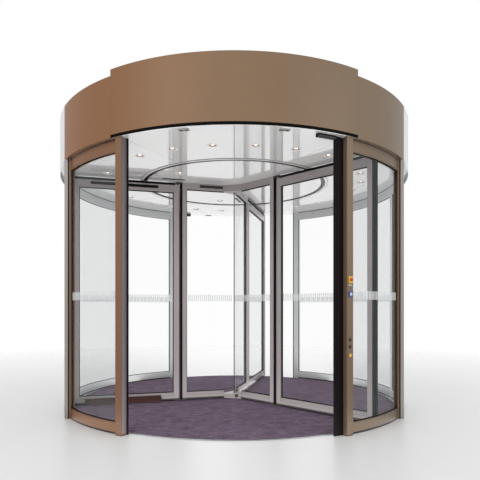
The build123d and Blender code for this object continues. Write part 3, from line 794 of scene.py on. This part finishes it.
class DOOR_OT_wall_glazing(bpy.types.Operator):
    """Beads and black gaskets that hold the curved panes."""

    bl_idname = "door.wall_glazing"
    bl_label = "Wall glazing"

    def execute(self, context):
        lip = context.scene.door_sizes.gasket
        beads = bmesh.new()
        gaskets = bmesh.new()
        bead_in, bead_out = GLASS_OUT + 0.003, WALL_OUT - 0.001
        sides = ((GLASS_OUT, GLASS_OUT + 0.003), (GLASS_IN - 0.003, GLASS_IN))
        side_turn = degrees(lip / GLASS_OUT)
        facet_turn = 1.6
        for start, end in BAYS:
            steps = max(8, int((end - start) / facet_turn))
            for seat, edge, soft in ((KICK_SEAT, KICK_TOP, -0.003), (HEAD_LOW + 0.015, HEAD_LOW, 0.003)):
                sweep(beads, [(bead_in, seat), (bead_out, seat), (bead_out, edge + soft),
                              (bead_out - 0.003, edge), (bead_in, edge)], start, end, steps)
            for inner, outer in sides:
                for low, high in ((KICK_TOP - 0.010, KICK_TOP + lip), (HEAD_LOW - lip / 2, HEAD_LOW + 0.010)):
                    sweep(gaskets, oblong(inner, outer, low, high), start, end, steps)
                side = oblong(inner, outer, KICK_TOP + lip, HEAD_LOW - lip)
                for first in (start, end - side_turn):
                    sweep(gaskets, side, first, first + side_turn, 1)
        finished("wall_beads", beads, "drum", "rail")
        finished("wall_gaskets", gaskets, "drum", "rubber")
        return {"FINISHED"}


class DOOR_OT_band(bpy.types.Operator):
    """Frosted band of upright marks on the curved panes and the wings."""

    bl_idname = "door.band"
    bl_label = "Frosted band"

    def execute(self, context):
        sizes = context.scene.door_sizes
        bm = bmesh.new()
        pitch = degrees(sizes.mark_pitch / GLASS_OUT)
        for start, end in BAYS:
            count = int((end - start) / pitch) - 1
            first = (start + end) / 2 - pitch * (count - 1) / 2
            mark = block(bm, GLASS_OUT, GLASS_OUT + 0.0005, -sizes.mark_width / 2, sizes.mark_width / 2,
                         sizes.band_low, sizes.band_high)
            turn(bm, mark, first)
            repeat(bm, mark, pitch, count)
        finished("wall_band", bm, "drum", "band", smooth=False)
        rotor = bmesh.new()
        for letter, angle in WINGS.items():
            leaf = bmesh.new()
            self.row(leaf, sizes, LEAF_PANE[0] + 0.011, LEAF_PANE[1] - 0.011, angle)
            finished(f"leaf_band_{letter}", leaf, f"leaf_{letter}", "band", smooth=False)
            self.row(rotor, sizes, 0.030, INNER_PANE[1] - 0.009, angle)
        finished("inner_band", rotor, "rotor", "band", smooth=False)
        return {"FINISHED"}

    def row(self, bm, sizes, start, end, angle):
        """Marks on the leading face of a wing's pane."""
        for n in range(int((end - start) / sizes.mark_pitch)):
            x = start + (n + 0.25) * sizes.mark_pitch
            bar(bm, angle, x, x + sizes.mark_width, 0.005, 0.0055, sizes.band_low, sizes.band_high)


class DOOR_OT_wing_glazing(bpy.types.Operator):
    """Gaskets and beads of the wings' panes, and the joint where the inner panes meet."""

    bl_idname = "door.wing_glazing"
    bl_label = "Wing glazing"

    def execute(self, context):
        lip = context.scene.door_sizes.wing_gasket
        inner_beads = bmesh.new()
        inner_gaskets = bmesh.new()
        for letter, angle in WINGS.items():
            beads = bmesh.new()
            self.beads(beads, angle, LEAF_PANE, LEAF_PANE_HEIGHTS)
            finished(f"leaf_beads_{letter}", beads, f"leaf_{letter}", "rotor", bevel=0.0015)
            gaskets = bmesh.new()
            self.rim(gaskets, angle, LEAF_PANE, LEAF_PANE_HEIGHTS, lip, (-1, 1))
            finished(f"leaf_gaskets_{letter}", gaskets, f"leaf_{letter}", "rubber")
            self.beads(inner_beads, angle, INNER_PANE, INNER_PANE_HEIGHTS)
            self.rim(inner_gaskets, angle, INNER_PANE, INNER_PANE_HEIGHTS, lip, (1,))
            bar(inner_gaskets, angle, 0.0, 0.0058, -0.0015, 0.0015, 0.062, 2.770)
        finished("inner_gaskets", inner_gaskets, "rotor", "rubber", smooth=False)
        finished("inner_beads", inner_beads, "rotor", "rotor", bevel=0.0015)
        return {"FINISHED"}

    def beads(self, bm, angle, span, heights):
        """Beads under a pane, on both of its faces."""
        for side in (-1, 1):
            y0, y1 = sorted((side * 0.0055, side * 0.022))
            bar(bm, angle, *span, y0, y1, heights[0] - BEAD_HEIGHT, heights[0])

    def rim(self, bm, angle, span, heights, lip, ends):
        """Gasket strips on both faces of a pane, along its foot, its top and the ends given."""
        (x0, x1), (z0, z1) = span, heights
        for side in (-1, 1):
            y0, y1 = sorted((side * 0.005, side * 0.010))
            bar(bm, angle, x0, x1, y0, y1, z0, z0 + lip)
            bar(bm, angle, x0, x1, y0, y1, z1 - lip, z1)
            for end in ends:
                near, far = (x0, x0 + lip) if end < 0 else (x1 - lip, x1)
                bar(bm, angle, near, far, y0, y1, z0 + lip, z1 - lip)


class DOOR_OT_seals(bpy.types.Operator):
    """Carriers that hold the brushes round each leaf."""

    bl_idname = "door.seals"
    bl_label = "Seal carriers"

    def execute(self, context):
        for letter, angle in WINGS.items():
            start, end = LEAF_SEAL
            bm = bmesh.new()
            bar(bm, angle, start, end, -0.021, 0.021, LEAF_TOP, LEAF_TOP + 0.031)
            bar(bm, angle, start, end, -0.021, 0.021, LEAF_LOW - 0.011, LEAF_LOW)
            bar(bm, angle, end - 0.025, end, -HALF_WING - 0.002, HALF_WING + 0.002,
                LEAF_LOW + 0.001, LEAF_TOP - 0.001)
            finished(f"seal_carriers_{letter}", bm, f"leaf_{letter}", "rubber", bevel=0.0012)
            low, high = turned_box(f"leaf_safety_{letter}", angle)
            bm = bmesh.new()
            bar(bm, angle, low.x + 0.004, high.x - 0.004, HALF_WING, HALF_WING + 0.028, 0.046, 0.088)
            finished(f"bumper_backs_{letter}", bm, f"leaf_{letter}", "bumper", bevel=0.006)
        return {"FINISHED"}


class DOOR_OT_controls(bpy.types.Operator):
    """Emergency stop, slow-turn button and key switches on the right lobby post."""

    bl_idname = "door.controls"
    bl_label = "Controls"

    def execute(self, context):
        face = POST_FACE + PLATE_DEPTH
        stop = self.plate(0.046, 0.062, STOP_HEIGHT)
        self.place("stop_plate", stop, "stop_plate", "stop_yellow", "emergency_stop")
        knob = bmesh.new()
        self.stack(knob, face, STOP_HEIGHT, (0.006, 0.0115, 0.0), (0.008, 0.017, 0.003))
        self.place("stop_knob", knob, "stop_knob", "stop_red", "emergency_stop")
        access = self.plate(0.042, 0.052, ACCESS_HEIGHT)
        self.place("access_plate", access, "access", "access_blue", "access_button")
        push = bmesh.new()
        self.stack(push, face, ACCESS_HEIGHT, (0.0025, 0.0155, 0.0008), (0.0023, 0.0115, 0.0012))
        self.place("access_push", push, "band", "frosted_band", "access_button")
        label = self.plate(0.040, 0.020, LABEL_HEIGHT, 0.0015)
        self.place("blank_label", label, "silver", "steel_trim")
        barrels, collars, slots = bmesh.new(), bmesh.new(), bmesh.new()
        for height in KEY_HEIGHTS:
            target = barrels if height == min(KEY_HEIGHTS) else collars
            self.stack(target, POST_FACE, height, (0.0035, 0.0175, 0.0008), (0.0053, 0.0125, 0.0008))
            block(slots, POST_FACE + 0.0086, POST_FACE + 0.00895, -0.0012, 0.0012,
                  height - 0.006, height + 0.006)
        self.place("key_barrel", barrels, "brass", "key_brass", "key_switches")
        self.place("key_collars", collars, "sensor", "sensor_black", "key_switches")
        self.place("key_slots", slots, "steel", "steel_trim")
        return {"FINISHED"}

    def plate(self, width, height, middle, depth=PLATE_DEPTH):
        """Plate with rounded corners on the post's face."""
        bm = bmesh.new()
        block(bm, POST_FACE, POST_FACE + depth, -width / 2, width / 2, middle - height / 2, middle + height / 2)
        corners = [e for e in bm.edges if abs(e.verts[0].co.x - e.verts[1].co.x) > depth / 2]
        soften(bm, corners, 0.005, 4)
        return bm

    def stack(self, bm, near, height, *rounds):
        """Round bosses on top of each other, each with its depth, radius and softness of rim."""
        for depth, radius, soft in rounds:
            far = near + depth
            rim = [v for v in boss(bm, near, far, radius, height) if v.co.x > far - 1e-5]
            if soft:
                soften(bm, edges_among(rim), soft, 3)
            near = far

    def place(self, name, bm, finish, slot, node=None):
        """Turn a fitting onto the right lobby post."""
        turn(bm, bm.verts[:], -POST_TURN)
        piece = finished(name, bm, "drum", finish)
        if node:
            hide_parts(node)


class DOOR_OT_sensors(bpy.types.Operator):
    """Bezels and lenses of the doorway sensors, caps on the sensor bars."""

    bl_idname = "door.sensors"
    bl_label = "Sensors"

    def execute(self, context):
        bezels = bmesh.new()
        lenses = bmesh.new()
        for angle in SENSOR_TURNS:
            self.part(bezels, angle, 0.060, -0.052, 0.052, -0.002)
            for y in (-0.026, 0.026):
                self.part(lenses, angle, 0.024, y - 0.018, y + 0.018, -0.0066, -0.006)
        caps = bmesh.new()
        for angle in SENSOR_BAR_TURNS:
            self.part(caps, angle, 0.044, -0.1035, 0.1035, -0.012)
            for y in (-0.1045, 0.1005):
                self.part(caps, angle, 0.042, y, y + 0.004, -0.033)
        finished("sensor_bezels", bezels, "drum", "silver", bevel=0.0008)
        finished("sensor_lenses", lenses, "drum", "sensor", bevel=0.0002)
        finished("sensor_caps", caps, "drum", "rubber", bevel=0.0008)
        return {"FINISHED"}

    def part(self, bm, angle, width, y0, y1, low, high=0.0):
        """Block centred on the sensors' circle, at heights taken from the soffit."""
        near, far = SENSOR_CIRCLE - width / 2, SENSOR_CIRCLE + width / 2
        bar(bm, angle, near, far, y0, y1, SOFFIT + low, SOFFIT + high)


class DOOR_OT_post_strips(bpy.types.Operator):
    """Black edge strips on posts, lips of the safety bumpers, and covers over the open reveals painted in the
    pale grey that a reveal face takes in bright daylight.
    """

    bl_idname = "door.post_strips"
    bl_label = "Post strips"

    def execute(self, context):
        bm = bmesh.new()
        for angle in OPEN_POSTS:
            bar(bm, angle, POST_BACK + 0.001, POST_BACK + 0.015, HALF_POST, HALF_POST + 0.014, 0.0, SOFFIT)
        for side in (-1, 1):
            x0, x1 = sorted((side * (FACADE_BAND - 0.013), side * FACADE_BAND))
            for edge in (-HALF_POST - 0.0025, HALF_POST):
                block(bm, x0, x1, FACADE_LINE + edge, FACADE_LINE + edge + 0.0025, 0.0, SOFFIT)
        finished("edge_strips", bm, "drum", "rubber", bevel=0.0015)
        bm = bmesh.new()
        for angle in CLOSING_POSTS:
            low, high = turned_box("safety_bumpers", angle)
            bar(bm, angle, low.x + 0.003, high.x - 0.003, low.y - 0.034, low.y + 0.012, low.z, high.z)
        finished("bumper_lips", bm, "drum", "rubber", bevel=0.008)
        bm = bmesh.new()
        # Painted light: thin covers over the open reveals, in the pale grey those faces take in bright daylight
        for angle in OPEN_POSTS:
            bar(bm, angle, POST_BACK + 0.016, POST_FACE - 0.005, HALF_POST, HALF_POST + 0.0015, 0.020, SOFFIT)
        finished("reveal_covers", bm, "drum", "reveal", bevel=0.0005)
        return {"FINISHED"}


class DOOR_OT_small_fittings(bpy.types.Operator):
    """Lock knob on the bottom hub and screws on the posts."""

    bl_idname = "door.small_fittings"
    bl_label = "Small fittings"

    def execute(self, context):
        bm = bmesh.new()
        for near, far, radius in ((0.094, 0.108, 0.023), (0.108, 0.112, 0.015)):
            self.stud(bm, near, far, radius, 0.055, 0.050, WINGS["a"] + 60)
        finished("lock_knob", bm, "rotor", "sensor")
        bm = bmesh.new()
        for angle in OPEN_POSTS + CLOSING_POSTS:
            for height in SCREW_HEIGHTS:
                self.stud(bm, POST_FACE, POST_FACE + 0.0012, 0.0035, 0.0, height, angle)
        finished("post_screws", bm, "drum", "steel")
        return {"FINISHED"}

    def stud(self, bm, near, far, radius, across, height, angle):
        """Round head with a sloping rim at a plan angle."""
        turn(bm, boss(bm, near, far, radius, height, across, 24, 0.88), angle)


class DOOR_OT_roof_seams(bpy.types.Operator):
    """Cover strips over the joints of the canopy's roof."""

    bl_idname = "door.roof_seams"
    bl_label = "Roof seams"

    def execute(self, context):
        bm = bmesh.new()
        for n in range(6):
            bar(bm, 15 + 30 * n, -SKIN + 0.030, SKIN - 0.030, -0.012, 0.012, ROOF, ROOF + 0.006)
        sweep(bm, [(0.0005, ROOF), (0.16, ROOF), (0.14, ROOF + 0.007), (0.0005, ROOF + 0.007)], steps=32)
        finished("roof_seams", bm, "drum", "roof")
        return {"FINISHED"}


class DOOR_OT_stage(bpy.types.Operator):
    """Camera, pale floor and soft studio light."""

    bl_idname = "door.stage"
    bl_label = "Stage"

    def execute(self, context):
        scene = context.scene
        scene.view_settings.view_transform = "Standard"
        # Up to ten faces of glass stand behind each other
        scene.cycles.transparent_max_bounces = 32
        # The camera stands where the photograph was taken from
        camera = bpy.data.objects.new("camera", bpy.data.cameras.new("camera"))
        scene.collection.objects.link(camera)
        scene.camera = camera
        camera.location = (0.0, -6.462, 1.236)
        camera.rotation_euler = (pi / 2, 0, 0)
        camera.data.lens = 36.045
        camera.data.sensor_width = 36.0
        camera.data.shift_x = 0.0121
        camera.data.shift_y = 0.1377
        self.floor(scene)
        self.world(scene)
        self.lamp(scene, "key", (-4.5, -7.0, 5.2), (0, 0, 1.6), 4.5, 120.0)
        self.lamp(scene, "fill", (5.5, -5.0, 3.5), (0, 0, 1.5), 4.0, 70.0)
        self.lamp(scene, "street", (0.5, 8.0, 4.0), (0, 0, 1.2), 5.0, 110.0)
        self.lamp(scene, "floor_light", (0, -0.4, 0.010), (0, -0.4, 3), 3.6, 52.0)
        return {"FINISHED"}

    def lamp(self, scene, name, place, target, size, power):
        """Large soft lamp that looks at a point."""
        light = bpy.data.lights.new(name, "AREA")
        light.size = size
        light.energy = power
        lamp = bpy.data.objects.new(name, light)
        lamp.location = place
        lamp.rotation_euler = (Vector(target) - Vector(place)).to_track_quat("-Z", "Y").to_euler()
        scene.collection.objects.link(lamp)

    def floor(self, scene):
        """Pale floor that keeps the object's shadow."""
        bm = bmesh.new()
        bmesh.ops.create_grid(bm, x_segments=1, y_segments=1, size=30.0)
        mesh = bpy.data.meshes.new("floor")
        bm.to_mesh(mesh)
        bm.free()
        floor = bpy.data.objects.new("floor", mesh)
        scene.collection.objects.link(floor)
        paint = Paint("floor_pale")
        speck = paint.noise(40.0, 2.0)
        base = paint.mix(speck, (0.84, 0.83, 0.82), (0.88, 0.87, 0.86))
        solid = paint.node("ShaderNodeBsdfPrincipled", None, {"Base Color": base, "Roughness": 0.4})
        solid_reach, fade = 3.2, 6.0
        away = ((paint.radius() - solid_reach) / fade).clamped()
        open_air = paint.node("ShaderNodeBsdfTransparent")
        paint.close(paint.node("ShaderNodeMixShader", None, {0: away, 1: solid, 2: open_air}))
        mesh.materials.append(paint.owner)

    def world(self, scene):
        """White backdrop for sight, gloss and glass; softer light for the rest."""
        paint = Paint("studio", world=True)
        path = paint.node("ShaderNodeLightPath").socket.node
        rays = [Value(paint, path.outputs[f"Is {kind} Ray"]) for kind in ("Camera", "Transmission", "Glossy")]
        soft = paint.node("ShaderNodeBackground", None, {"Color": (0.96, 0.98, 1.0, 1), "Strength": 0.78})
        white = paint.node("ShaderNodeBackground", None, {"Color": (1, 1, 1, 1)})
        both = paint.node("ShaderNodeMixShader", None, {0: sum(rays).clamped(), 1: soft, 2: white})
        paint.close(both, "ShaderNodeOutputWorld")
        scene.world = paint.owner


STEPS = (DOOR_OT_finishes, DOOR_OT_grille, DOOR_OT_mat, DOOR_OT_downlights, DOOR_OT_wall_glazing,
         DOOR_OT_band, DOOR_OT_wing_glazing, DOOR_OT_seals, DOOR_OT_controls, DOOR_OT_sensors,
         DOOR_OT_post_strips, DOOR_OT_small_fittings, DOOR_OT_roof_seams, DOOR_OT_stage)


class DOOR_PT_panel(bpy.types.Panel):
    """Door fittings."""

    bl_idname = "DOOR_PT_panel"
    bl_label = "Revolving door"
    bl_space_type = "VIEW_3D"
    bl_region_type = "UI"
    bl_category = "Door"

    def draw(self, context):
        for step in STEPS:
            self.layout.operator(step.bl_idname)
        for group in (context.scene.door_sizes, context.scene.door_colours):
            for key in type(group).__annotations__:
                self.layout.prop(group, key)


CLASSES = (DoorColours, DoorSizes, *STEPS, DOOR_PT_panel)


def register():
    """Add the settings, operators and panel."""
    for cls in CLASSES:
        bpy.utils.register_class(cls)
    bpy.types.Scene.door_colours = bpy.props.PointerProperty(type=DoorColours)
    bpy.types.Scene.door_sizes = bpy.props.PointerProperty(type=DoorSizes)


def unregister():
    """Take them away again."""
    del bpy.types.Scene.door_sizes
    del bpy.types.Scene.door_colours
    for cls in reversed(CLASSES):
        bpy.utils.unregister_class(cls)


def main():
    """Build the whole door."""
    register()
    for step in STEPS:
        group, name = step.bl_idname.split(".")
        getattr(getattr(bpy.ops, group), name)()


if __name__ == "__main__":
    main()
